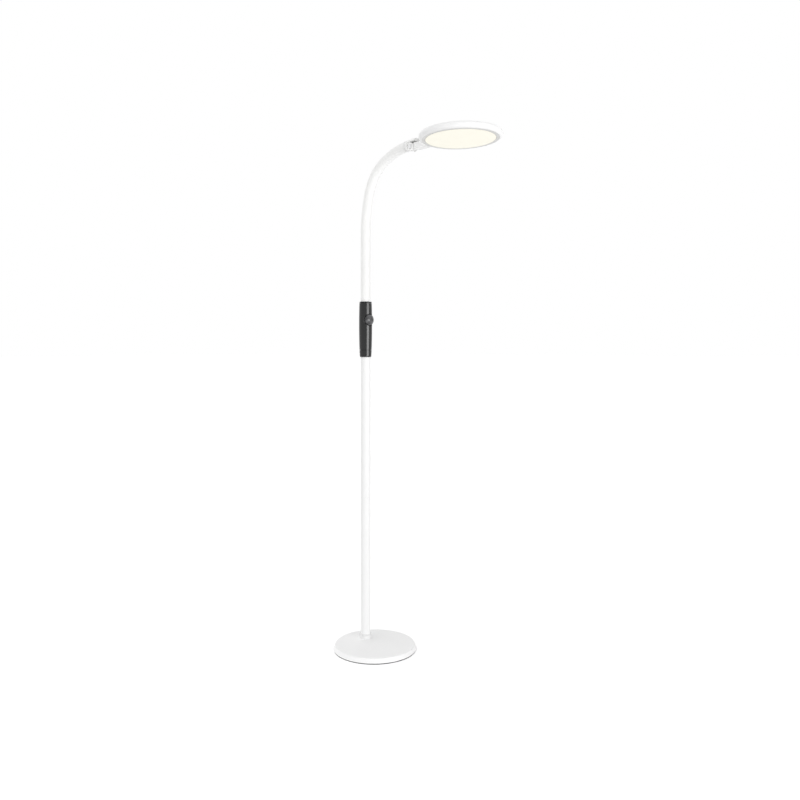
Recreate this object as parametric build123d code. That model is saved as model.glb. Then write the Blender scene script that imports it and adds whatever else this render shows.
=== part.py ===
from build123d import *
import math
import os

# A gooseneck reading floor lamp, in millimetres and degrees. +Z is up and the floor is z = 0.
# The pole stands on the Z axis, the neck bends over towards +X, and the dimmer knob faces +X.

# Base: a pressed steel cover over a cast weight, on a dark foam pad
base_turn = -15.0          # from +X to the line from the pole to the base's centre
base_offset = 59.0
pad_radius = 130.8
pad_height = 3.0
cover_radius = 132.0
cover_top_radius = 127.8   # where the sloping side would meet the top
base_height = 17.0
cover_edge = 3.6
cover_wall = 1.2
weight_gap = 0.3
nut_pocket_radius = 13.0
nut_flats = 17.0
nut_foot = 9.2
nut_top = 12.5
washer_radius = 11.0
washer_thickness = 0.4
lead_groove_half = 4.0
lead_groove_top = 12.0

# Power inlet, in the rear edge of the base
inlet_face = 128.4         # from the base's centre
inlet_radius = 5.2
inlet_height = 9.0
inlet_cup_radius = 4.2
inlet_cup_depth = 3.5
inlet_hole_radius = 3.2
inlet_hole_depth = 9.0
inlet_length = 15.0
inlet_pin_radius = 1.0
inlet_notch_half = 7.0

# Pole: two steel tubes screwed together
pole_radius = 16.0
pole_wall = 1.0
pole_joint = 475.0
pole_top = 932.0
hairline = 0.3             # the seam between pieces that butt together
shadow_gap = 0.8           # the wider seam between mouldings, with a bevel on each edge
seam_bevel = 0.4
collar_radius = 18.6
collar_top = 33.0
collar_bevel = 1.0
collar_bead = 3.0          # height of the bead round the collar's top
collar_groove = (16.9, 1.4)   # radius and height of the groove under the bead
plug_fit = 0.1             # how far an insert stands clear of the tube's bore
stud_radius = 10.0
stud_length = 24.0
nipple_radius = 5.0
nipple_bore = 3.5
nipple_foot = 9.0
nipple_clearance = 0.3
thread_fit = 0.02          # between the cylinders that stand for a screw thread
insert_bore = 4.0
foot_insert_top = 41.0
socket_length = 34.0
coupler_grip = 28.0        # length of the stud's insert inside the upper tube
top_insert_length = 30.0

# Lead from the inlet to the control board
lead_radius = 2.2
lead_level = 6.0           # under the weight
lead_straight = 9.0
lead_slope = 8.0
lead_bends = (12.0, 12.0, 5.0)

# Control housing
housing_top = 1108.0
housing_seam = 955.0
housing_foot_radius = 19.0
housing_seam_radius = 20.0
housing_belly_radius = 21.4
housing_belly_height = 1040.0
housing_top_radius = 20.3
housing_bore = 17.4
housing_ceiling = 1098.0
housing_edge = 1.0
cap_floor = 4.0
cap_wall = 2.0
cap_spigot = 7.0           # height of the part that snaps into the shell
cap_rounding = 3.0
snap_fit = 0.1
control_nipple_foot = 908.0
control_nipple_top = 946.0
control_nut_flats = 15.0
control_nut_height = 5.0

# Control board, upright behind the knob, and the rotary control on it
board_foot = 976.0
board_top = 1076.0
board_half_width = 13.0
board_front = -1.4
board_thickness = 1.6
board_chips = (            # width and height spans, and how far each stands forward
    ((-5.0, 2.0), (1000.0, 1009.0), 1.2),
    ((-9.0, -2.0), (1020.0, 1030.0), 4.0),
    ((2.0, 9.0), (1014.0, 1024.0), 6.5),
)
board_screw_heights = (984.0, 1072.0)
board_screw_radius = 1.3
board_screw_head = 2.8
board_screw_length = 11.6
pillar_radius = 3.0
pillar_hole_length = 12.6
encoder_half = 6.5
encoder_face = 5.1
bushing_radius = 3.5
bushing_end = 12.0
bushing_hole = 3.7

# Dimmer knob
knob_height = 1053.0
boss_radius = 20.4
boss_face = 14.0           # from the pole's axis; proud of the shell's sides, sunk in its front
boss_back = 9.0
boss_wall = 1.8            # round the sunk part of the face, inside the shell
boss_edge = 0.6
knob_radius = 17.8
knob_foot = 14.4
knob_shoulder = 20.0
knob_crown = 27.0
knob_wall = 2.0
knob_hub = 4.5
knob_edge = 1.5
shaft_radius = 2.4
shaft_foot = 1.0
shaft_end = 21.0
shaft_gap = 0.05

# Neck: a wound steel core in a smooth sleeve
neck_foot = 1112.0
neck_seat = 18.0           # length of the core inside the swivel ferrule
neck_tail = 5.5            # length of the core inside the end fitting
neck_straight = 218.54
neck_arcs = ((136.0, 15.0), (116.0, 43.0), (106.0, 27.0))   # each length and turn
neck_spans = 8
sleeve_radius = 15.75
sleeve_bore = 12.9
core_radius = 12.5
core_bore = 10.0
core_gap = 3.2             # from a bending place to the end of each core span
swivel_radius = 14.4
swivel_gap = 0.08
swivel_foot = 1092.0
swivel_seam = 0.7          # between the ferrule's ring and the housing's top
clip_groove = 0.8
clip_reach = 2.2
clip_thickness = 1.5
clip_split = 3.0           # half of the gap between the split ring's ends

# Knuckle between the neck and the head
knuckle_along = 19.0       # from the sleeve's end
knuckle_below = 8.0        # under the neck's centreline
fitting_radius = 17.2
fitting_skirt = 6.0        # how far the socket reaches back over the sleeve
fitting_edge = 4.0
fitting_lip = 1.0
hood_length = 40.0
hood_thickness = 10.8
hood_edge = 2.5
slot_half = 8.2
tongue_half = 7.4
cheek_half = 13.5
cheek_radius = 12.3
cheek_edge = 1.6
knuckle_back = 8.2         # from the sleeve's end to the fork's bottom
knuckle_radius = 10.5
knuckle_web = 9.4          # half the height of the web from the round tongue to the arm
bolt_radius = 3.0
bolt_gap = 0.1
bolt_fit = 0.04
bolt_head_radius = 6.0
bolt_head_height = 2.6
bolt_end = 3.4             # how far the bolt's end stands out of the cheek
hinge_nut_flats = 10.0
hinge_nut_height = 3.2
washer_rim = 7.5
washer_gap = 0.1
arm_start = 13.0           # from the knuckle's bolt
arm_half_width = 12.0
arm_edge = 3.0
tang_end = 104.0
tang_half_width = 8.0
tang_bottom = -2.0
tang_top = 5.5
tang_seat = 3.0            # floor of the screw heads' pockets
tang_screw_places = (85.0, 97.0)
tang_screw_radius = 1.45
tang_screw_head = 3.0
tang_screw_top = 5.3
tang_head_foot = 3.1

# Head
head_reach = 186.3         # from the knuckle's bolt to the head's axis
head_drop = 2.0
head_lift = 1.7            # degrees by which the head's outer edge is raised
head_radius = 124.5
head_half = 10.0           # half of the thickness, and the radius of the round rim
head_wall = 1.6
panel_radius = 108.0       # the acrylic light panel's flange, 216 mm across
lip_radius = 105.8
pan_radius = 104.4
pan_face = -10.4
gasket_face = -10.2
lip_gap = 0.2
upstand = (111.0, 112.5)   # the bezel's inner and outer radius inside the rim
pan_wall = 1.6
flange_thickness = 1.5
pan_edge = 0.5
gasket_fit = 0.1
guide_radius = 106.0
guide_span = (-6.7, -3.7)
sheet_span = (-3.6, -3.1)
strip_span = (-6.6, -3.6)
strip_ring = (107.0, 107.8)
emitter_count = 24
emitter_depth = (106.3, 107.2)
emitter_half = 1.4
emitter_span = (-6.2, -4.2)
plate_radius = 109.1
plate_top = -0.6
plate_thickness = 1.0
boss_circle = 95.0
boss_count = 4
boss_size = (1.3, 3.6)     # hole and outside of each screw boss
plate_screw_radius = 1.3
plate_screw_head = 2.6
plate_screw_height = 1.4
plate_screw_end = 6.0
plate_hole = 1.7
slot_side_gap = 0.2

beyond = 1.0               # how far a cut is run past the face that it starts from


def rod(radius, bottom, top):
    """A round bar along +Z."""
    align = (Align.CENTER, Align.CENTER, Align.MIN)
    return Pos(0, 0, bottom) * Cylinder(radius, top - bottom, align=align)


def tube(outer, inner, bottom, top):
    return rod(outer, bottom, top) - rod(inner, bottom, top)


def block(x, y, z):
    """A box from three pairs of low and high sides."""
    size = [high - low for low, high in (x, y, z)]
    return Pos(x[0], y[0], z[0]) * Box(*size, align=(Align.MIN, Align.MIN, Align.MIN))


def hex_bar(flats, bottom, top):
    prism = extrude(RegularPolygon(flats / 2, 6, major_radius=False), top - bottom)
    return Pos(0, 0, bottom) * prism


def turned(outline):
    """A solid turned about +Z from closed edges drawn as (radius, height)."""
    return revolve(Plane.XZ * make_face(outline), Axis.Z)


def turned_points(*points):
    return turned(Polyline(*points, close=True))


def rings(solid):
    """The full circles among a turned solid's edges, lowest first."""
    return solid.edges().filter_by(lambda edge: edge.is_closed).sort_by(Axis.Z)


along_x = Rot(0, 90, 0)
along_y = Rot(-90, 0, 0)
base_place = Rot(0, 0, base_turn) * Pos(base_offset, 0, 0)
pole_in_base = Pos(-base_offset, 0, 0)
knob_place = Pos(0, 0, knob_height)


def neck_place(distance):
    """A place on the neck's centreline, with +Z along the neck. Distances start in the ferrule."""
    x, z, lean = 0.0, neck_foot - neck_seat, 0.0
    for length, turn in neck_runs:
        step = min(distance, length)
        distance -= step
        half_bend = math.radians(turn * step / length) / 2
        chord = step * math.sin(half_bend) / half_bend if half_bend else step
        x += chord * math.sin(lean + half_bend)
        z += chord * math.cos(lean + half_bend)
        lean += 2 * half_bend
    return Pos(x, 0, z) * Rot(0, math.degrees(lean), 0)


neck_runs = ((neck_seat + neck_straight, 0.0), *neck_arcs, (neck_tail, 0.0))
sleeve_length = neck_straight + sum(length for length, turn in neck_arcs)
span_length = sleeve_length / neck_spans
fitting_place = neck_place(neck_seat + sleeve_length)
knuckle_place = fitting_place * Pos(knuckle_below, 0, knuckle_along)
knuckle = knuckle_place.position
head_place = Pos(*knuckle) * Rot(0, -head_lift, 0)
disc_place = head_place * Pos(head_reach, 0, -head_drop)


def bend_distance(number):
    """How far along the centreline the neck's bending place of this number is."""
    return neck_seat + number * span_length


def neck_tube(outer, inner, start, end):
    """A tube that follows the neck's centreline between two distances."""
    marks = [start]
    reached = 0.0
    for length, turn in neck_runs:
        reached += length
        if start < reached < end:
            marks.append(reached)
    marks.append(end)
    edges = []
    for low, high in zip(marks, marks[1:]):
        first, middle, last = (neck_place(d).position for d in (low, (low + high) / 2, high))
        straight = (last - first).length > (high - low) * 0.999999
        edges.append(Line(first, last) if straight else ThreePointArc(first, middle, last))
    section = Plane(neck_place(start)) * (Circle(outer) - Circle(inner))
    return sweep(section, path=Wire(edges))


# ---- Base ----

def base_pad():
    """Foam pad under the whole base, glued on over the nut's pocket."""
    return rod(pad_radius, 0, pad_height)


def cover_envelope():
    body = turned_points(
        (0, pad_height),
        (cover_radius, pad_height),
        (cover_top_radius, base_height),
        (0, base_height),
    )
    return fillet(rings(body)[-1], cover_edge)


def inlet_bar(radius, front, back):
    """A bar on the inlet's axis, which runs out through the rear edge of the base."""
    return Pos(0, 0, inlet_height) * along_x * rod(radius, -front, -back)


def base_cover():
    inner_top = base_height - cover_wall
    inner = turned_points(
        (0, pad_height),
        (cover_radius - cover_wall, pad_height),
        (cover_top_radius - cover_wall, inner_top),
        (0, inner_top),
    )
    cover = cover_envelope() - inner - pole_in_base * rod(nipple_radius + nipple_clearance, 0, base_height)
    return cover - inlet_bar(inlet_radius + lip_gap, cover_radius + beyond, inlet_face - inlet_length)


def base_weight():
    """Cast disc, with the nut's pocket, the lead's groove and the inlet's notch in it."""
    clear = cover_wall + weight_gap
    top = base_height - clear
    weight = turned_points(
        (0, pad_height),
        (cover_radius - clear, pad_height),
        (cover_top_radius - clear, top),
        (0, top),
    )
    sides = (-inlet_notch_half, inlet_notch_half)
    notch = block((-cover_radius, inlet_length - inlet_face + inlet_notch_half), sides, (pad_height, top))
    sides = (-lead_groove_half, lead_groove_half)
    groove = block((-inlet_face, -base_offset), sides, (pad_height, lead_groove_top))
    pocket = pole_in_base * rod(nut_pocket_radius, pad_height, nut_top)
    hole = pole_in_base * rod(nipple_radius + nipple_clearance, pad_height, top)
    return weight - notch - groove - pocket - hole


def nipple_nut():
    nut = hex_bar(nut_flats, nut_foot, nut_top - washer_thickness)
    return pole_in_base * (nut - rod(nipple_radius, 0, base_height))


def nipple_washer():
    hole = nipple_radius + nipple_clearance
    return pole_in_base * tube(washer_radius, hole, nut_top - washer_thickness, nut_top)


def pole_nipple():
    """Hollow threaded stud that clamps the pole to the base and lets the lead through."""
    return pole_in_base * tube(nipple_radius, nipple_bore, nipple_foot, foot_insert_top)


def power_inlet():
    """Barrel socket: a cup for the plug's nose, then the hole for its barrel."""
    body = inlet_bar(inlet_radius, inlet_face, inlet_face - inlet_length)
    cup = inlet_bar(inlet_cup_radius, inlet_face, inlet_face - inlet_cup_depth)
    hole_end = inlet_face - inlet_cup_depth - inlet_hole_depth
    return body - cup - inlet_bar(inlet_hole_radius, inlet_face, hole_end)


def inlet_pin():
    hole_end = inlet_face - inlet_cup_depth - inlet_hole_depth
    return inlet_bar(inlet_pin_radius, hole_end + inlet_hole_depth - inlet_pin_radius, hole_end)


def pole_lead():
    """Low-voltage lead from the inlet, under the weight and up the pole to the control board."""
    start = inlet_length - inlet_face
    slope = start + lead_straight
    route = FilletPolyline(
        (start, 0, inlet_height),
        (slope, 0, inlet_height),
        (slope + lead_slope, 0, lead_level),
        (-base_offset, 0, lead_level),
        (-base_offset, 0, board_foot - pillar_radius),
        radius=list(lead_bends),
    )
    section = Plane(route @ 0, z_dir=route % 0) * Circle(lead_radius)
    return sweep(section, path=route)


# ---- Pole ----

def base_collar():
    """Turned ring at the pole's foot: a drum, a groove and a rounded bead."""
    groove_radius, groove_height = collar_groove
    bead_foot = collar_top - collar_bead
    drum_top = bead_foot - groove_height
    drum = rod(collar_radius, base_height, drum_top)
    drum = fillet(rings(drum)[-1], collar_bevel)
    bead = rod(collar_radius - hairline, bead_foot, collar_top)
    bead = fillet(rings(bead), collar_bevel)
    neck = rod(groove_radius, base_height, collar_top)
    return drum + bead + neck - rod(pole_radius + plug_fit, base_height, collar_top)


def pole_tube(bottom, top):
    return tube(pole_radius, pole_radius - pole_wall, bottom, top)


insert_radius = pole_radius - pole_wall - plug_fit


def foot_insert():
    return tube(insert_radius, nipple_radius + thread_fit, base_height, foot_insert_top)


def coupler_socket():
    """Threaded insert in the lower tube's top end."""
    top = pole_joint - hairline / 2
    body = rod(insert_radius, top - socket_length, top)
    body -= rod(stud_radius + plug_fit, top - stud_length - beyond, top)
    return body - rod(insert_bore, 0, top)


def coupler_stud():
    """Insert with a threaded stud, in the upper tube's bottom end."""
    bottom = pole_joint + hairline / 2
    body = rod(insert_radius, bottom, bottom + coupler_grip)
    body += rod(stud_radius, bottom - stud_length, bottom)
    return body - rod(insert_bore, 0, pole_top)


def top_insert():
    return tube(insert_radius, nipple_radius + thread_fit, pole_top - top_insert_length, pole_top)


# ---- Control housing ----

def control_nipple():
    return tube(nipple_radius, nipple_bore, control_nipple_foot, control_nipple_top)


def control_nut():
    seat = pole_top + cap_floor
    nut = hex_bar(control_nut_flats, seat, seat + control_nut_height)
    return nut - rod(nipple_radius, 0, housing_top)


def control_cap():
    """Bottom cup of the housing, with a spigot that snaps into the long shell."""
    rim = housing_seam - shadow_gap / 2
    spigot = housing_bore - snap_fit
    outer = turned_points(
        (0, pole_top),
        (housing_foot_radius, pole_top),
        (housing_seam_radius, rim - seam_bevel),
        (housing_seam_radius - seam_bevel, rim),
        (spigot, rim),
        (spigot, rim + cap_spigot),
        (0, rim + cap_spigot),
    )
    outer = fillet(rings(outer)[0], cap_rounding)
    bore = rod(spigot - cap_wall, pole_top + cap_floor, housing_top)
    return outer - bore - rod(nipple_radius + nipple_clearance, 0, housing_top)


def housing_outline():
    """The barrel-shaped outside, closed along the axis."""
    foot = housing_seam + shadow_gap / 2
    side = ThreePointArc(
        (housing_seam_radius, foot + seam_bevel),
        (housing_belly_radius, housing_belly_height),
        (housing_top_radius, housing_top),
    )
    inner = housing_seam_radius - seam_bevel
    return side + Polyline(side @ 1, (0, housing_top), (0, foot), (inner, foot), side @ 0)


def control_housing():
    """Long moulded shell with a flat-faced boss for the knob."""
    shell = turned(housing_outline())
    shell = fillet(rings(shell)[-1], housing_edge)
    shell -= rod(housing_bore, housing_seam, housing_ceiling)
    shell -= rod(swivel_radius + swivel_gap, housing_ceiling, housing_top)
    inside = rod(housing_bore + plug_fit, housing_seam, housing_ceiling)
    shell += knob_place * along_x * rod(boss_radius + boss_wall, boss_back, housing_bore) & inside
    boss = rod(boss_radius, boss_back, boss_face)
    shell += knob_place * along_x * fillet(rings(boss)[-1], boss_edge)
    shell -= knob_place * along_x * rod(boss_radius, boss_face, housing_belly_radius + beyond)
    shell -= knob_place * along_x * rod(bushing_hole, 0, boss_face)
    seat = board_front - board_thickness
    for height in board_screw_heights:
        pillar = rod(pillar_radius, -housing_bore - snap_fit, seat)
        shell += Pos(0, 0, height) * along_x * (pillar - rod(board_screw_radius, seat - pillar_hole_length, 0))
    return shell


def control_board():
    back = board_front - board_thickness
    board = block((back, board_front), (-board_half_width, board_half_width), (board_foot, board_top))
    for height in board_screw_heights:
        board -= Pos(0, 0, height) * along_x * rod(board_screw_radius + nipple_clearance, back, board_front)
    for across, up, forward in board_chips:
        board += block((board_front, board_front + forward), across, up)
    return board


def board_screws():
    head = rod(board_screw_head, board_front, board_front + board_screw_radius)
    screw = along_x * (head + rod(board_screw_radius, board_front - board_screw_length, board_front))
    return Compound(children=[Pos(0, 0, height) * screw for height in board_screw_heights])


def dimmer_encoder():
    """Rotary control on the board, with the bushing that its shaft turns in."""
    sides = (-encoder_half, encoder_half)
    body = block((board_front, encoder_face), sides, sides)
    body += along_x * rod(bushing_radius, encoder_face, bushing_end)
    return knob_place * (body - along_x * rod(shaft_radius + shaft_gap, shaft_foot / 2, bushing_end))


def dimmer_shaft():
    return knob_place * along_x * rod(shaft_radius, shaft_foot, shaft_end)


def dimmer_knob():
    """Domed knob, hollow behind, on a hub that takes the shaft."""
    side = Polyline((0, knob_foot), (knob_radius, knob_foot), (knob_radius, knob_shoulder))
    sagitta = knob_crown - knob_shoulder
    dome_radius = (knob_radius ** 2 + sagitta ** 2) / (2 * sagitta)
    dome = RadiusArc(side @ 1, (0, knob_crown), -dome_radius)
    knob = turned(side + dome + Line(dome @ 1, side @ 0))
    knob = fillet(rings(knob)[-1], knob_edge)
    knob -= tube(knob_radius - knob_wall, knob_hub, knob_foot, knob_shoulder - beyond)
    knob -= rod(shaft_radius + thread_fit, knob_foot, shaft_end)
    return knob_place * along_x * knob


# ---- Neck ----

def neck_ferrule():
    """Ring that the neck stands in, with a spigot that turns in the housing's top."""
    ring = turned_points(
        (core_radius + plug_fit, neck_foot),
        (core_radius + plug_fit, swivel_foot),
        (swivel_radius, swivel_foot),
        (swivel_radius, housing_top + swivel_seam),
        (housing_top_radius - swivel_seam, housing_top + swivel_seam),
        (housing_top_radius, housing_top + 2 * swivel_seam),
        (housing_top_radius, neck_foot - 2 * swivel_seam),
        (housing_top_radius - swivel_seam, neck_foot),
    )
    bottom = housing_ceiling - plug_fit - clip_thickness - plug_fit
    return ring - tube(swivel_radius + beyond, swivel_radius - clip_groove, bottom, housing_ceiling)


def swivel_clip():
    """Split ring in the spigot's groove, which keeps the neck from lifting out."""
    top = housing_ceiling - plug_fit
    bottom = top - clip_thickness
    ring = tube(swivel_radius + clip_reach, swivel_radius - clip_groove + shaft_gap, bottom, top)
    return ring - block((-housing_bore, -core_radius), (-clip_split, clip_split), (bottom, top))


def neck_core(number):
    """One span of the wound steel core, clear of its neighbours where the neck bends."""
    start = 0.0 if number == 1 else bend_distance(number - 1) + core_gap
    last = neck_seat + sleeve_length + neck_tail
    end = last if number == neck_spans else bend_distance(number) - core_gap
    return neck_tube(core_radius, core_bore, start, end)


def neck_sleeve(number):
    """One span of the smooth outer sleeve, which is one piece on the real neck."""
    return neck_tube(sleeve_radius, sleeve_bore, bend_distance(number - 1), bend_distance(number))


# ---- Knuckle ----

def fork_cheek():
    """One pillowed cheek of the fork, on the +Y side: a disc drawn back to the socket."""
    root_half = math.sqrt(fitting_radius ** 2 - cheek_half ** 2)
    disc = Pos(knuckle_below, knuckle_along) * Circle(cheek_radius)
    root = Pos(0, knuckle_back / 2) * Rectangle(2 * root_half, knuckle_back)
    outline = make_hull(disc.edges() + root.edges())
    cheek = extrude(Plane.XZ.offset(-cheek_half) * outline, cheek_half - slot_half)
    return fillet(cheek.faces().sort_by(Axis.Y)[-1].edges(), cheek_edge)


def neck_fitting():
    """Socket on the neck's end, drawn out into a hood over a fork of two round cheeks."""
    far = fitting_radius + beyond
    hood = rod(fitting_radius, knuckle_back, hood_length)
    hood = fillet(rings(hood)[-1], fitting_edge)
    hood -= block((hood_thickness - fitting_radius, far), (-far, far), (knuckle_back, hood_length))
    hood = fillet(hood.faces().sort_by(Axis.X)[-1].edges(), hood_edge / 2)
    socket = rod(fitting_radius, -fitting_skirt, knuckle_back)
    socket = fillet(rings(socket)[0], fitting_lip)
    cheek = fork_cheek()
    body = socket + hood + cheek + mirror(cheek, about=Plane.XZ)
    body -= rod(sleeve_radius + plug_fit, -fitting_skirt, 0)
    body -= rod(core_radius + plug_fit, 0, neck_tail + hairline)
    body -= rod(nipple_radius, 0, knuckle_back)
    pin = Pos(knuckle_below, 0, knuckle_along) * along_y * rod(bolt_radius + bolt_gap, -far, far)
    return fitting_place * (body - pin)


def hinge_bolt():
    """Shoulder bolt through the fork and the tongue, with a low round head."""
    bolt = rod(bolt_radius, -cheek_half, cheek_half + bolt_end)
    bolt += rod(bolt_head_radius, -cheek_half - bolt_head_height, -cheek_half)
    return knuckle_place * along_y * bolt


def hinge_nut():
    nut = hex_bar(hinge_nut_flats, cheek_half, cheek_half + hinge_nut_height)
    return knuckle_place * along_y * (nut - rod(bolt_radius, 0, 2 * cheek_half))


def friction_washers():
    washer = tube(washer_rim, bolt_radius + bolt_gap, tongue_half + washer_gap, slot_half)
    turned_over = Rot(180, 0, 0) * washer
    return knuckle_place * along_y * Compound(children=[washer, turned_over])


def head_bracket():
    """Tongue in the fork, then an arm to the head's rim and a flat tang that goes inside."""
    tongue = along_y * rod(knuckle_radius, -tongue_half, tongue_half)
    height = (-knuckle_radius, knuckle_radius)
    rim = head_reach - head_radius
    web = (-knuckle_web, knuckle_web)
    tongue += block((0, arm_start + beyond), (-tongue_half, tongue_half), web)
    arm = block((arm_start, rim + head_half / 2), (-arm_half_width, arm_half_width), height)
    arm = fillet(arm.edges().filter_by(Axis.X), arm_edge)
    bracket = tongue + arm - Pos(head_reach, 0, -head_drop) * disc_envelope(snap_fit)
    tang = (-tang_half_width, tang_half_width)
    bracket += block((rim - 2 * beyond, tang_end), tang, (tang_bottom, tang_top))
    bracket -= along_y * rod(bolt_radius + bolt_fit, -tongue_half, tongue_half)
    for x in tang_screw_places:
        bracket -= Pos(x, 0, 0) * rod(tang_screw_radius + bolt_gap, tang_bottom, tang_top)
        bracket -= Pos(x, 0, 0) * rod(tang_screw_head + bolt_gap, tang_seat, tang_top)
    return head_place * bracket


# ---- Head: heights here are from the middle of the disc's thickness ----

def disc_envelope(grow):
    """The plain outside of the head: a flat disc with a half-round rim."""
    half = head_half + grow
    middle = head_radius - head_half
    rim = ThreePointArc((middle, -half), (middle + half, 0), (middle, half))
    return turned(rim + Polyline(rim @ 1, (0, half), (0, -half), rim @ 0))


def screw_places(radius):
    return PolarLocations(radius, boss_count, start_angle=180 / boss_count)


def head_cover():
    """Moulded shell: the top and the whole round rim, with a slot for the bracket's tang."""
    cover = disc_envelope(0) - disc_envelope(-head_wall)
    cover -= rod(head_radius - head_half, -head_half - beyond, -head_half + head_wall)
    hole, outside = boss_size
    pillar = tube(outside, hole, plate_top, head_half - head_wall)
    for place in screw_places(boss_circle):
        cover += place * pillar
    half_width = tang_half_width + slot_side_gap
    height = (tang_bottom + head_drop - slot_side_gap, tang_top + head_drop + slot_side_gap)
    slot = block((-head_radius - beyond, -head_radius + head_half), (-half_width, half_width), height)
    return disc_place * (cover - slot)


def head_bezel():
    """Flat ring that closes the underside, with an upstand that snaps inside the rim."""
    low = -head_half
    lip = tube(head_radius - head_half - lip_gap, lip_radius, low, low + head_wall)
    inner, outer = upstand
    return disc_place * (lip + tube(outer, inner, low + head_wall, 0))


def panel_gasket():
    """Thin ring between the bezel's opening and the diffuser, nearly flush with both."""
    outer = lip_radius - gasket_fit
    return disc_place * tube(outer, pan_radius + gasket_fit, gasket_face, head_wall - head_half)


def diffuser():
    """Opal acrylic pan whose flange rests on the bezel's lip."""
    seat = -head_half + head_wall
    pan = turned_points(
        (0, pan_face),
        (pan_radius, pan_face),
        (pan_radius, seat),
        (panel_radius, seat),
        (panel_radius, seat + flange_thickness),
        (pan_radius - pan_wall, seat + flange_thickness),
        (pan_radius - pan_wall, pan_face + pan_wall),
        (0, pan_face + pan_wall),
    )
    return disc_place * fillet(rings(pan)[0], pan_edge)


def light_guide():
    return disc_place * rod(guide_radius, *guide_span)


def reflector_sheet():
    return disc_place * rod(guide_radius, *sheet_span)


def led_ring():
    """Flexible strip round the light guide, its emitters facing in."""
    inner, outer = strip_ring
    strip = tube(outer, inner, *strip_span)
    emitter = block(emitter_depth, (-emitter_half, emitter_half), emitter_span)
    for place in PolarLocations(0, emitter_count):
        strip += place * emitter
    return disc_place * strip


def back_plate():
    """Aluminium plate with a turned-down rim that carries the strip and takes its heat."""
    under = plate_top - plate_thickness
    plate = rod(plate_radius, under, plate_top)
    plate += tube(plate_radius, plate_radius - plate_thickness, guide_span[0], under)
    for place in screw_places(boss_circle):
        plate -= place * rod(plate_hole, under, plate_top)
    for x in tang_screw_places:
        plate -= Pos(x - head_reach, 0, 0) * rod(tang_screw_radius + shaft_gap, under, plate_top)
    return disc_place * plate


def plate_screws():
    under = plate_top - plate_thickness
    screw = rod(plate_screw_head, under - plate_screw_height, under)
    screw += rod(plate_screw_radius, under, plate_screw_end)
    return disc_place * Compound(children=[place * screw for place in screw_places(boss_circle)])


def tang_screws():
    foot = plate_top - plate_thickness - head_drop
    screw = rod(tang_screw_head, tang_head_foot, tang_screw_top)
    screw += rod(tang_screw_radius, foot, tang_head_foot)
    return head_place * Compound(children=[Pos(x, 0, 0) * screw for x in tang_screw_places])


# ---- Every piece, in the order that the lamp goes together ----

in_base = {
    "base_pad": base_pad,
    "base_cover": base_cover,
    "base_weight": base_weight,
    "nipple_nut": nipple_nut,
    "nipple_washer": nipple_washer,
    "pole_nipple": pole_nipple,
    "power_inlet": power_inlet,
    "inlet_pin": inlet_pin,
    "pole_lead": pole_lead,
}
upright = {
    "base_collar": base_collar,
    "foot_insert": foot_insert,
    "coupler_socket": coupler_socket,
    "coupler_stud": coupler_stud,
    "top_insert": top_insert,
    "control_nipple": control_nipple,
    "control_nut": control_nut,
    "control_cap": control_cap,
    "control_housing": control_housing,
    "control_board": control_board,
    "board_screws": board_screws,
    "dimmer_encoder": dimmer_encoder,
    "dimmer_shaft": dimmer_shaft,
    "dimmer_knob": dimmer_knob,
    "neck_ferrule": neck_ferrule,
    "swivel_clip": swivel_clip,
    "neck_fitting": neck_fitting,
    "hinge_bolt": hinge_bolt,
    "hinge_nut": hinge_nut,
    "friction_washers": friction_washers,
    "head_bracket": head_bracket,
    "head_cover": head_cover,
    "head_bezel": head_bezel,
    "panel_gasket": panel_gasket,
    "diffuser": diffuser,
    "light_guide": light_guide,
    "reflector_sheet": reflector_sheet,
    "led_ring": led_ring,
    "back_plate": back_plate,
    "plate_screws": plate_screws,
    "tang_screws": tang_screws,
}


def all_pieces():
    pieces = {name: base_place * make() for name, make in in_base.items()}
    pieces["lower_pole"] = pole_tube(base_height, pole_joint - hairline / 2)
    pieces["upper_pole"] = pole_tube(pole_joint + hairline / 2, pole_top)
    pieces.update({name: make() for name, make in upright.items()})
    for number in range(1, neck_spans + 1):
        pieces[f"neck_core_{number}"] = neck_core(number)
        pieces[f"neck_sleeve_{number}"] = neck_sleeve(number)
    return pieces


os.makedirs("parts", exist_ok=True)
for name, piece in all_pieces().items():
    export_step(piece, f"parts/{name}.step")
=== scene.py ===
import bmesh
import bpy
import math
from mathutils import Matrix, Vector


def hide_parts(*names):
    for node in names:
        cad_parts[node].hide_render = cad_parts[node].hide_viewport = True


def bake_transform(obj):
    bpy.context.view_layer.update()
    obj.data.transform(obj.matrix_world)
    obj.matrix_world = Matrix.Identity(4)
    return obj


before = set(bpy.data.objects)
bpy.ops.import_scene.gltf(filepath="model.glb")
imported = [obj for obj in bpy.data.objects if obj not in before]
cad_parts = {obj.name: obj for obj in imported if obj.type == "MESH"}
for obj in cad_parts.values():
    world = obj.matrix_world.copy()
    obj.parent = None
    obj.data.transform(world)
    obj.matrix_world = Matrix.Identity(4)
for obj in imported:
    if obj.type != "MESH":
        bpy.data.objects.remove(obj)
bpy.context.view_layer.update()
MM = 0.001

# ---- Foam pad ----
# A disc of closed-cell foam, cut with a knife and glued to the underside of the base.
# Its edge is the thin black line between the base and the floor.

foam_cell = 0.9            # mm, one bubble on the cut face
foam_depth = 0.12


def linear(code):
    """A colour written in sRGB hex, in the linear light that shaders work in."""
    parts = [int(code[i:i + 2], 16) / 255 for i in (0, 2, 4)]
    return [c / 12.92 if c <= 0.04045 else ((c + 0.055) / 1.055) ** 2.4 for c in parts] + [1.0]


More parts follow.
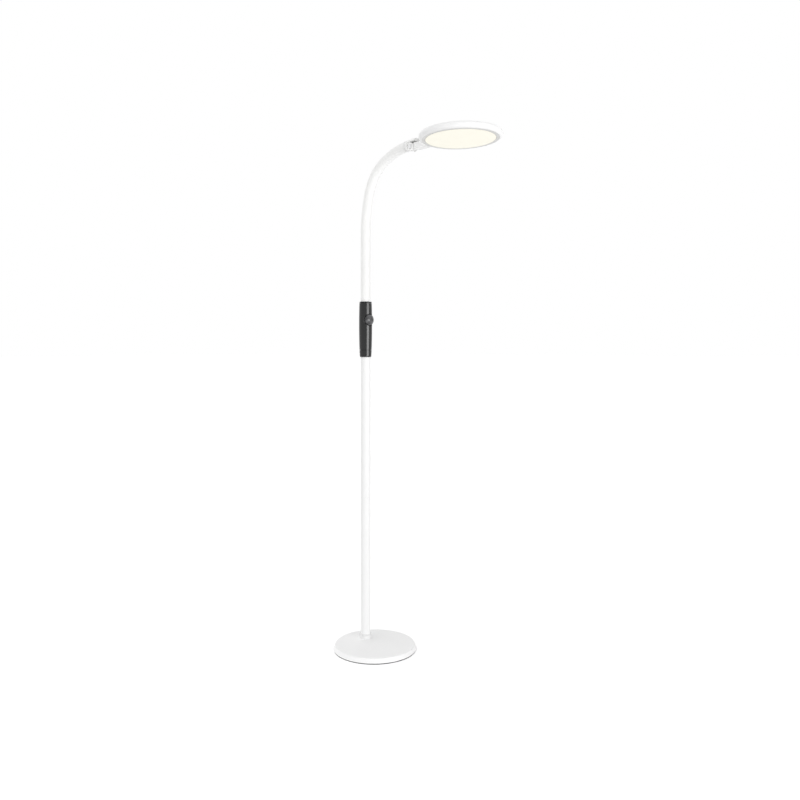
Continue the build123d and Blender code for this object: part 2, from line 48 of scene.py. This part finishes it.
def add(tree, kind, links=(), sockets=(), **settings):
    """Adds one shader node, with the outputs that feed it, the values on its sockets and its settings."""
    node = tree.nodes.new("ShaderNode" + kind)
    for key, value in settings.items():
        setattr(node, key, value)
    for key, value in dict(sockets).items():
        node.inputs[key].default_value = value
    for key, output in dict(links).items():
        tree.links.new(output, node.inputs[key])
    return node


def finish_named(name, **sockets):
    """A new material, its node tree, the object's own coordinates and its surface shader."""
    material = bpy.data.materials.new(name)
    material.use_nodes = True
    tree = material.node_tree
    tree.nodes.clear()
    values = {key.replace("_", " "): value for key, value in sockets.items()}
    shader = add(tree, "BsdfPrincipled", (), values)
    add(tree, "OutputMaterial", {"Surface": shader.outputs[0]})
    return material, tree, add(tree, "TexCoord").outputs["Object"], shader


def per_metre(size):
    """A texture's scale for features of this size in millimetres."""
    return 1000 / size


def relief(tree, shader, height, depth):
    """Raises the surface by a texture, whose full swing is this deep in millimetres."""
    bump = add(tree, "Bump", {"Height": height}, {"Strength": 1.0, "Distance": depth * MM})
    tree.links.new(bump.outputs["Normal"], shader.inputs["Normal"])


def tint(tree, shader, pattern, first, second):
    """Lets a pattern move the colour between two shades."""
    mix = add(tree, "Mix", {"Factor": pattern}, data_type="RGBA")
    mix.inputs["A"].default_value = linear(first)
    mix.inputs["B"].default_value = linear(second)
    tree.links.new(mix.outputs["Result"], shader.inputs["Base Color"])


def dress(material, *nodes):
    """Gives CAD nodes their finish."""
    for node in nodes:
        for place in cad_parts[node].material_slots:
            place.material = material


# Closed-cell EVA foam: dull black, with a skin of small dents that breaks up any shine
foam, tree, here, shader = finish_named("eva_foam_black", Roughness=0.85, IOR=1.45)
cells = add(tree, "TexVoronoi", {"Vector": here}, {"Scale": per_metre(foam_cell)})
relief(tree, shader, cells.outputs["Distance"], foam_depth)
tint(tree, shader, cells.outputs["Distance"], "3A3A3B", "4C4C4E")
dress(foam, "base_pad")

# ---- Weight, nipple and nut ----
# A sand-cast iron disc fills the base; a threaded steel nipple with a nut clamps the pole down on it.
# None of it shows until the pad is peeled off.

sand_grain = 1.1           # mm
sand_depth = 0.25
zinc_patch = 0.7           # mm, a patch of crystals; drawn coarser than the real ones to show
pattern_low = 0.3          # a noise pattern mostly keeps between these two
pattern_high = 0.7


def vary(tree, shader, socket, pattern, low, high):
    """Lets a pattern move one number of the surface between two values."""
    limits = {"From Min": pattern_low, "From Max": pattern_high, "To Min": low, "To Max": high}
    span = add(tree, "MapRange", {"Value": pattern}, limits)
    tree.links.new(span.outputs["Result"], shader.inputs[socket])


# Grey cast iron: dark, rough from the sand of its mould, slightly lighter on the high spots
iron, tree, here, shader = finish_named("grey_cast_iron", Metallic=1.0, Roughness=0.6)
sand = add(tree, "TexNoise", {"Vector": here},
           {"Scale": per_metre(sand_grain), "Detail": 4.0, "Roughness": 0.65})
relief(tree, shader, sand.outputs["Fac"], sand_depth)
tint(tree, shader, sand.outputs["Fac"], "2C2C2D", "5A5958")
dress(iron, "base_weight")

# Zinc-plated steel: pale grey metal, its crystals giving a faint mottle in the shine
zinc, tree, here, shader = finish_named("zinc_plated_steel", Metallic=1.0)
crystals = add(tree, "TexVoronoi", {"Vector": here}, {"Scale": per_metre(zinc_patch)})
vary(tree, shader, "Roughness", crystals.outputs["Color"], 0.26, 0.42)
tint(tree, shader, crystals.outputs["Distance"], "B9BBBD", "D2D3D4")
dress(zinc, "nipple_nut", "nipple_washer", "pole_nipple", "foot_insert", "coupler_socket",
      "coupler_stud", "top_insert", "control_nipple", "control_nut", "board_screws", "dimmer_shaft",
      "swivel_clip", "friction_washers", "plate_screws", "tang_screws")

# ---- Base cover ----
# A disc pressed from 1.2 mm steel sheet, with a sloping side and a rounded upper edge.
# It is sprayed with white powder and baked, like the pole and the collar.

peel = 1.6                 # mm, one swell of the baked powder; drawn coarser than the real 0.8 to show
peel_depth = 0.010
gloss_drift = 45.0         # mm, how far apart the slightly duller patches are


def powder_coat(name, first, second, shiniest, dullest, depth):
    """Baked polyester powder: the fine swells of orange peel in its shine, and a slow drift in gloss."""
    material, tree, here, shader = finish_named(name, IOR=1.5)
    swell = add(tree, "TexNoise", {"Vector": here},
                {"Scale": per_metre(peel), "Detail": 1.0, "Roughness": 0.4})
    relief(tree, shader, swell.outputs["Fac"], depth)
    cloud = add(tree, "TexNoise", {"Vector": here}, {"Scale": per_metre(gloss_drift), "Detail": 2.0})
    vary(tree, shader, "Roughness", cloud.outputs["Fac"], shiniest, dullest)
    tint(tree, shader, cloud.outputs["Fac"], first, second)
    return material


# Powder coat: a clean half-gloss white, laid thickest on the base; the collar's is thinner and glossier, and
# drawn a shade greyer, a painted shade
dress(powder_coat("powder_coat_base", "F6F6F6", "F9F9F9", 0.38, 0.46, peel_depth), "base_cover")
dress(powder_coat("powder_coat_pole", "EFEFEF", "F3F3F3", 0.38, 0.46, peel_depth),
      "lower_pole", "upper_pole")
dress(powder_coat("powder_coat_collar", "E9E9E9", "EDEDED", 0.18, 0.26, peel_depth / 2), "base_collar")

# ---- Power inlet and lead ----
# A moulded barrel socket with a brass pin sits in the rear edge of the base.
# A round two-core lead runs from it under the weight and up the pole to the board.

spark = 0.5                # mm, the eroded grain of a moulding tool; drawn coarser than the real 0.1 to show
spark_depth = 0.015
shade_drift = 30.0         # mm, how far apart the slightly darker patches of a plastic are
drift_rough = 0.03         # how much rougher or smoother such a patch is
jacket_swell = 2.0         # mm, the unevenness of the lead's jacket
jacket_depth = 0.02
lathe_ring = 0.0942        # mm, one turn of the tool's feed


def plastic(name, first, second, rough, grain, depth):
    """A plastic or a rubber: the fine grain of its skin, and a slow drift in gloss and shade."""
    material, tree, here, shader = finish_named(name, IOR=1.5)
    pits = add(tree, "TexNoise", {"Vector": here},
               {"Scale": per_metre(grain), "Detail": 3.0, "Roughness": 0.6})
    relief(tree, shader, pits.outputs["Fac"], depth)
    drift = add(tree, "TexNoise", {"Vector": here}, {"Scale": per_metre(shade_drift), "Detail": 2.0})
    vary(tree, shader, "Roughness", drift.outputs["Fac"], rough - drift_rough, rough + drift_rough)
    tint(tree, shader, drift.outputs["Fac"], first, second)
    return material


def waves_per_metre(size):
    """A wave texture's scale for ridges this many millimetres apart; it draws 20 radians to a unit."""
    return per_metre(size) * 2 * math.pi / 20


# ABS: charcoal black, with the low even sheen that a fine spark-eroded tool leaves
black_abs = plastic("moulded_abs_black", "030304", "060607", 0.19, spark, spark_depth)
dress(black_abs, "power_inlet")

# PVC: soft white jacket of the lead, slightly uneven where it is extruded
dress(plastic("extruded_pvc_white", "DEDDDA", "E6E5E2", 0.5, jacket_swell, jacket_depth), "pole_lead")

# Turned brass: yellow metal with fine rings from the tool
brass, tree, here, shader = finish_named("turned_brass", Metallic=1.0, Roughness=0.25)
rings = add(tree, "TexWave", {"Vector": here}, {"Scale": waves_per_metre(lathe_ring)})
tint(tree, shader, rings.outputs["Fac"], "CDA85A", "DDBB6F")
dress(brass, "inlet_pin")

# ---- Dimmer housing and its board ----
# Two mouldings in black ABS: a bottom cup, and a long barrel-shaped shell with a boss for the knob.
# The board inside is green glass laminate with a black rotary control.

weave = 0.6                # mm, one thread of the board's glass cloth
filler_grain = 0.4         # mm, the flour that fills the control's moulding
laminate_depth = 0.02

dress(black_abs, "control_cap", "control_housing")

# Solder mask: half-gloss green lacquer, which follows the threads of the laminate under it
dress(plastic("solder_mask_green", "14512F", "1B5E38", 0.3, weave, laminate_depth), "control_board")

# Phenolic: black and dull, faintly uneven from its filler
dress(plastic("phenolic_black", "17171A", "202022", 0.5, filler_grain, laminate_depth), "dimmer_encoder")

# ---- Dimmer knob ----
# A domed cap moulded in a slightly greyer ABS than the housing, pressed on the control's shaft.
# Its dome is polished by fingers and shines more than the housing, and its lighter patches are painted
# highlights.

wear_and_glint_patch = 11.0        # mm, how far apart the worn patches are, which are also painted lighter as painted highlights
glint_low = 0.36            # the noise's values where the painted highlight starts, and where it is at its lightest
glint_high = 0.64
knob_depth = 0.01          # mm

# ABS: charcoal, its tool grain worn off in patches where fingers turn it; those patches are also painted
# lighter, a painted highlight
charcoal, tree, here, shader = finish_named("moulded_abs_charcoal", IOR=1.5)
wear_and_glint = add(tree, "TexNoise", {"Vector": here},
           {"Scale": per_metre(wear_and_glint_patch), "Detail": 2.0, "Roughness": 0.6})
vary(tree, shader, "Roughness", wear_and_glint.outputs["Fac"], 0.34, 0.20)
# Painted highlight: the worn patches are drawn lighter, for the shine of the lamp on the dome
painted_glint = add(tree, "MapRange", {"Value": wear_and_glint.outputs["Fac"]}, {"From Min": glint_low, "From Max": glint_high})
tint(tree, shader, painted_glint.outputs["Result"], "262628", "565658")
pits = add(tree, "TexNoise", {"Vector": here}, {"Scale": per_metre(spark), "Detail": 3.0})
relief(tree, shader, pits.outputs["Fac"], knob_depth)
dress(charcoal, "dimmer_knob")

# ---- Gooseneck ----
# A close-wound steel hose in a smooth white silicone sleeve, drawn on in one piece.
# Here the sleeve is seven tubes, each of which runs across one of the neck's seven hinges.

neck_foot = 1112.0         # mm above the floor, where the sleeve comes out of the ferrule
neck_runs = ((218.54, 0.0), (136.0, 15.0), (116.0, 43.0), (106.0, 27.0))   # mm along it, and degrees of turn
neck_spans = 8
sleeve_radius = 15.75
sleeve_wall = 2.85
sleeve_sides = 64
sleeve_step = 2.4          # mm between rings
shortest_pull = 0.01       # mm, a run shorter than this is rounding
weld = 1e-6                # m, corners nearer than this are merged
rim_angle = math.radians(50)   # an edge that turns by more than this stays sharp
strip_ridge = 20.1         # mm between the ridges drawn on the hose; coarser than its real turns
strip_depth = 0.4
talc_grain = 0.8           # mm; drawn coarser than the real powder to show
talc_depth = 0.012
sleeve_drift = 35.0        # mm, how far apart the slightly duller patches are

dress(black_abs, "neck_ferrule")

# Spring steel strip, wound into a hose: dark grey, oily, with ridges across the hose
strip, tree, here, shader = finish_named("wound_steel_strip", Metallic=1.0, Roughness=0.4)
turns = add(tree, "TexWave", {"Vector": here}, {"Scale": waves_per_metre(strip_ridge)}, bands_direction="Z")
relief(tree, shader, turns.outputs["Fac"], strip_depth)
tint(tree, shader, turns.outputs["Fac"], "5C5D60", "8E8F92")
dress(strip, *[f"neck_core_{n + 1}" for n in range(neck_spans)])

# Silicone rubber: white, matt and even, with the faint grain of talc and a soft edge sheen
silicone, tree, here, shader = finish_named("silicone_white", IOR=1.41,
                                            Sheen_Weight=0.06, Sheen_Roughness=0.5)
talc = add(tree, "TexNoise", {"Vector": here},
           {"Scale": per_metre(talc_grain), "Detail": 4.0, "Roughness": 0.7})
relief(tree, shader, talc.outputs["Fac"], talc_depth)
cloud = add(tree, "TexNoise", {"Vector": here}, {"Scale": per_metre(sleeve_drift), "Detail": 2.0})
vary(tree, shader, "Roughness", cloud.outputs["Fac"], 0.46, 0.56)
tint(tree, shader, cloud.outputs["Fac"], "F0F0EF", "F4F4F3")


def neck_walk(distance):
    """Where the neck's centreline is after this many millimetres, in metres, with +Z along it."""
    x, z, lean = 0.0, neck_foot, 0.0
    for length, turn in neck_runs:
        step = min(distance, length)
        distance -= step
        half = math.radians(turn * step / length) / 2
        chord = step * math.sin(half) / half if half else step
        x += chord * math.sin(lean + half)
        z += chord * math.cos(lean + half)
        lean += 2 * half
    return Matrix.Translation((x * MM, 0, z * MM)) @ Matrix.Rotation(lean, 4, "Y")


def grow_tube(shape, ring, start, end):
    """Draws a ring of edges along the neck, by straight pulls and by spins about each bend's centre."""
    passed = 0.0
    for length, turn in neck_runs:
        first = max(start, passed)
        last = min(end, passed + length)
        passed += length
        if last - first < shortest_pull:
            continue
        steps = max(1, round((last - first) / sleeve_step))
        place = neck_walk(first)
        if turn:
            angle = math.radians(turn)
            centre = place @ Vector((length * MM / angle, 0, 0))
            made = bmesh.ops.spin(shape, geom=ring, cent=centre, axis=(0, 1, 0), steps=steps,
                                  angle=angle * (last - first) / length)
            ring = [part for part in made["geom_last"] if isinstance(part, bmesh.types.BMEdge)]
        else:
            for _ in range(steps):
                made = bmesh.ops.extrude_edge_only(shape, edges=ring)
                corners = [part for part in made["geom"] if isinstance(part, bmesh.types.BMVert)]
                bmesh.ops.translate(shape, verts=corners, vec=(0, 0, (last - first) / steps * MM))
                ring = [part for part in made["geom"] if isinstance(part, bmesh.types.BMEdge)
                        and all(corner in corners for corner in part.verts)]


def piece(name, shape, material, smooth=True):
    """Makes an object of a bmesh, with the finish and the shading that it is to have."""
    mesh = bpy.data.meshes.new(name)
    for face in shape.faces:
        face.smooth = smooth
    for edge in shape.edges:
        edge.smooth = not edge.is_manifold or edge.calc_face_angle() < rim_angle
    shape.to_mesh(mesh)
    shape.free()
    mesh.materials.append(material)
    thing = bpy.data.objects.new(name, mesh)
    bpy.context.scene.collection.objects.link(thing)
    return thing


sleeve_length = sum(length for length, turn in neck_runs)
span = sleeve_length / neck_spans
links = ["neck_root"] + [f"neck_link_{n}" for n in range(1, neck_spans)]
for bend in range(1, neck_spans):
    topmost = bend == neck_spans - 1
    start = 0.0 if bend == 1 else (bend - 0.5) * span
    end = sleeve_length if topmost else (bend + 0.5) * span
    shape = bmesh.new()
    bmesh.ops.create_circle(shape, segments=sleeve_sides, radius=sleeve_radius * MM,
                            matrix=neck_walk(start))
    grow_tube(shape, list(shape.edges), start, end)
    bmesh.ops.remove_doubles(shape, verts=shape.verts, dist=weld)
    bmesh.ops.recalc_face_normals(shape, faces=shape.faces)
    bmesh.ops.solidify(shape, geom=list(shape.faces), thickness=sleeve_wall * MM)
    tube = piece(f"sleeve_{bend}", shape, silicone)
    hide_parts(f"neck_sleeve_{bend}", *([f"neck_sleeve_{bend + 1}"] if topmost else []))
    # The links on either side of a tube's hinge, and the middles of the two spans where the tube ends.
    lower = (links[bend - 1], neck_walk((bend - 0.5) * span).translation)
    upper = (links[bend], neck_walk((bend + 0.5) * span).translation)
    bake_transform(tube)

# ---- Knuckle ----
# A socket on the neck's end is drawn out into a hood over a fork; the head's bracket hangs in the fork
# on a bolt. Both are moulded in near-white glass-filled nylon.

fibre_patch = 0.7          # mm
fibre_depth = 0.02
nylon_glow = 5.0           # mm, how far light spreads under its skin
bright_patch = 0.5         # mm, a patch of the plating; drawn coarser than the real ones to show

# Glass-filled nylon: near-white, dull, slightly blotched where the fibres come to the skin,
# with a little light passing through it
nylon = plastic("glass_filled_nylon", "F2F2F1", "F5F5F4", 0.42, fibre_patch, fibre_depth)
skin = nylon.node_tree.nodes["Principled BSDF"].inputs
skin["Subsurface Weight"].default_value = 0.5
skin["Subsurface Radius"].default_value = (1, 1, 1)
skin["Subsurface Scale"].default_value = nylon_glow * MM
dress(nylon, "neck_fitting", "head_bracket")

# Bright zinc on the hinge's fasteners: paler than the plated pieces inside the lamp
bright, tree, here, shader = finish_named("bright_zinc_steel", Metallic=1.0)
plating = add(tree, "TexNoise", {"Vector": here}, {"Scale": per_metre(bright_patch), "Detail": 2.0})
vary(tree, shader, "Roughness", plating.outputs["Fac"], 0.22, 0.34)
tint(tree, shader, plating.outputs["Fac"], "E2E3E4", "ECECED")
dress(bright, "hinge_bolt", "hinge_nut")

# ---- Head ----
# A shallow shell of white ABS with a half-round rim, closed underneath by a flat ring.
# Opal acrylic fills the ring, with a thin grey rubber gasket round it; the lit layers lie behind.

shell_depth = 0.008        # mm, how deep the grain of the head's two mouldings is
gasket_grain = 0.8         # mm
gasket_depth = 0.02
film_ripple = 3.0          # mm
film_depth = 0.01
haze_patch = 40.0          # mm, how far apart the slightly paler patches of the panel are
dot_gap = 2.5              # mm between the printed dots
strip_bump = 0.6           # mm, the unevenness of the lacquer
lacquer_depth = 0.02
roller_run = 50.0          # mm, how long a line from the rollers is
roller_gap = 0.833         # mm between such lines

# ABS, white: the same fine tool grain as the housing's, shallower
dress(plastic("moulded_abs_white", "EFEFEF", "F3F3F3", 0.30, spark, shell_depth), "head_cover")

# ABS, white with painted shade: drawn a shade darker and duller than the shell, for the shade on the
# downward-facing ring, so that the ring stands off the panel
dress(plastic("moulded_abs_white_painted_shade", "D2D2D0", "D8D8D6", 0.34, spark, shell_depth), "head_bezel")

# Rubber: grey and matt, with a coarse grain
dress(plastic("gasket_rubber_grey", "B4B4B0", "BEBEBA", 0.6, gasket_grain, gasket_depth), "panel_gasket")

# Polyester film: bright white, half glossy, with slight ripples
dress(plastic("polyester_film_white", "F0F0F0", "F5F5F5", 0.35, film_ripple, film_depth), "reflector_sheet")

# Opal acrylic, lit from behind: warm white, glossy and evenly bright
opal, tree, here, shader = finish_named("opal_acrylic", Roughness=0.18, IOR=1.49, Emission_Strength=0.205)
shader.inputs["Emission Color"].default_value = linear("FFF6DE")
haze = add(tree, "TexNoise", {"Vector": here}, {"Scale": per_metre(haze_patch), "Detail": 1.0})
tint(tree, shader, haze.outputs["Fac"], "E5E3D6", "E9E7DB")
dress(opal, "diffuser")

# Clear acrylic with white dots printed on its back, which let the light out evenly
guide, tree, here, shader = finish_named("printed_clear_acrylic", Roughness=0.08, IOR=1.49)
dots = add(tree, "TexVoronoi", {"Vector": here}, {"Scale": per_metre(dot_gap), "Randomness": 0.1})
vary(tree, shader, "Transmission Weight", dots.outputs["Distance"], 0.2, 0.9)
tint(tree, shader, dots.outputs["Distance"], "FFFFFF", "F2F8F8")
dress(guide, "light_guide")

# Flexible strip: white lacquer over copper, cream where the emitters' phosphor sits
dress(plastic("lacquered_strip_cream", "F1ECD2", "F5F1DE", 0.4, strip_bump, lacquer_depth), "led_ring")

# Mill-finish aluminium sheet: pale metal with fine lines from the rollers
sheet, tree, here, shader = finish_named("rolled_aluminium", Metallic=1.0)
rolling = (per_metre(roller_run), per_metre(roller_gap), per_metre(roller_run))
rolled = add(tree, "Mapping", {"Vector": here}, {"Scale": rolling})
lines = add(tree, "TexNoise", {"Vector": rolled.outputs[0]}, {"Scale": 1.0, "Detail": 3.0})
vary(tree, shader, "Roughness", lines.outputs["Fac"], 0.28, 0.45)
tint(tree, shader, lines.outputs["Fac"], "C3C5C7", "D5D6D8")
dress(sheet, "back_plate")

# ---- Studio ----
# A pale floor that runs to the horizon, under a sky that is brighter on the left and overhead,
# with a low softbox to the right of the camera. The floor and the sky read as white to the camera
# and in reflections; the floor keeps the shadow.

view_azimuth = 42.0        # degrees round from the knob's side, where the camera stands
floor_half = 60.0          # m
floor_drop = 0.0002        # m under the pad
floor_colour = "F2F2F2"
sky = 0.62                 # how strong its light is, level and straight ahead
sky_lean = 0.60            # how much stronger on the left, and weaker on the right
sky_lift = 0.26            # how much stronger overhead
floor_glow = 0.37          # what the floor adds where it is seen, so that it reads as white
box_beside = 45.0          # degrees to the right of the camera, seen from the pole
box_distance = 5.2         # m
box_height = 1.0           # m, of its middle
box_size = (3.6, 1.8)      # m, wide and tall
box_radiance = 6.2         # watts per square metre and steradian


def outward(degrees):
    """The level direction from the pole towards something placed round it."""
    turn = math.radians(degrees)
    return Vector((math.sin(turn), -math.cos(turn), 0))


def seen(tree):
    """1 for rays from the camera, from a shine or through glass, and 0 for light that falls on things."""
    ray = add(tree, "LightPath").outputs
    some = add(tree, "Math", {0: ray["Is Camera Ray"], 1: ray["Is Glossy Ray"]}, operation="MAXIMUM")
    more = add(tree, "Math", {0: some.outputs[0], 1: ray["Is Transmission Ray"]}, operation="MAXIMUM")
    return more.outputs[0]


shape = bmesh.new()
bmesh.ops.create_grid(shape, x_segments=1, y_segments=1, size=floor_half,
                      matrix=Matrix.Translation((0, 0, -floor_drop)))
paper = bpy.data.materials.new("studio_paper")
paper.use_nodes = True
tree = paper.node_tree
tree.nodes.clear()
matt = add(tree, "BsdfDiffuse", (), {"Color": linear(floor_colour)})
glow = add(tree, "Emission", (), {"Color": (1, 1, 1, 1)})
level = add(tree, "Math", {0: seen(tree)}, {1: floor_glow}, operation="MULTIPLY")
tree.links.new(level.outputs[0], glow.inputs["Strength"])
both = add(tree, "AddShader", {0: matt.outputs[0], 1: glow.outputs[0]})
add(tree, "OutputMaterial", {"Surface": both.outputs[0]})
piece("studio_floor", shape, paper, smooth=False)

world = bpy.data.worlds.new("studio_sky")
bpy.context.scene.world = world
world.use_nodes = True
tree = world.node_tree
tree.nodes.clear()
ray = add(tree, "TexCoord").outputs["Generated"]
bright_side = outward(view_azimuth - 90) * sky_lean + Vector((0, 0, sky_lift))
lean = add(tree, "VectorMath", {0: ray}, {1: bright_side}, operation="DOT_PRODUCT")
level = add(tree, "Math", {0: lean.outputs["Value"]}, {1: sky}, operation="ADD")
dim = add(tree, "Background", {"Strength": level.outputs[0]}, {"Color": (1, 1, 1, 1)})
white = add(tree, "Background", (), {"Color": (1, 1, 1, 1), "Strength": 1.0})
choice = add(tree, "MixShader", {0: seen(tree), 1: dim.outputs[0], 2: white.outputs[0]})
add(tree, "OutputWorld", {"Surface": choice.outputs[0]})

lamp = bpy.data.lights.new("softbox", "AREA")
lamp.shape = "RECTANGLE"
lamp.size, lamp.size_y = box_size
lamp.energy = box_radiance * math.pi * box_size[0] * box_size[1]
softbox = bpy.data.objects.new("softbox", lamp)
bpy.context.scene.collection.objects.link(softbox)
side = outward(view_azimuth + box_beside)
softbox.location = side * box_distance + Vector((0, 0, box_height))
softbox.rotation_euler = side.to_track_quat("Z", "Y").to_euler()

camera_distance = 2.632    # m from the pole's axis, level
camera_height = 0.9730
camera_beside = 0.1123     # m to the right of the pole
camera_lens = 36.30        # mm
camera_sensor = 36.0
camera_shift = -0.0694

toward = outward(view_azimuth)
right = outward(view_azimuth + 90)
eye = bpy.data.cameras.new("camera")
eye.lens = camera_lens
eye.sensor_width = camera_sensor
eye.shift_y = camera_shift
camera = bpy.data.objects.new("camera", eye)
bpy.context.scene.collection.objects.link(camera)
camera.location = toward * camera_distance + right * camera_beside + Vector((0, 0, camera_height))
camera.rotation_euler = toward.to_track_quat("Z", "Y").to_euler()
bpy.context.scene.camera = camera
bpy.context.scene.view_settings.view_transform = "Standard"
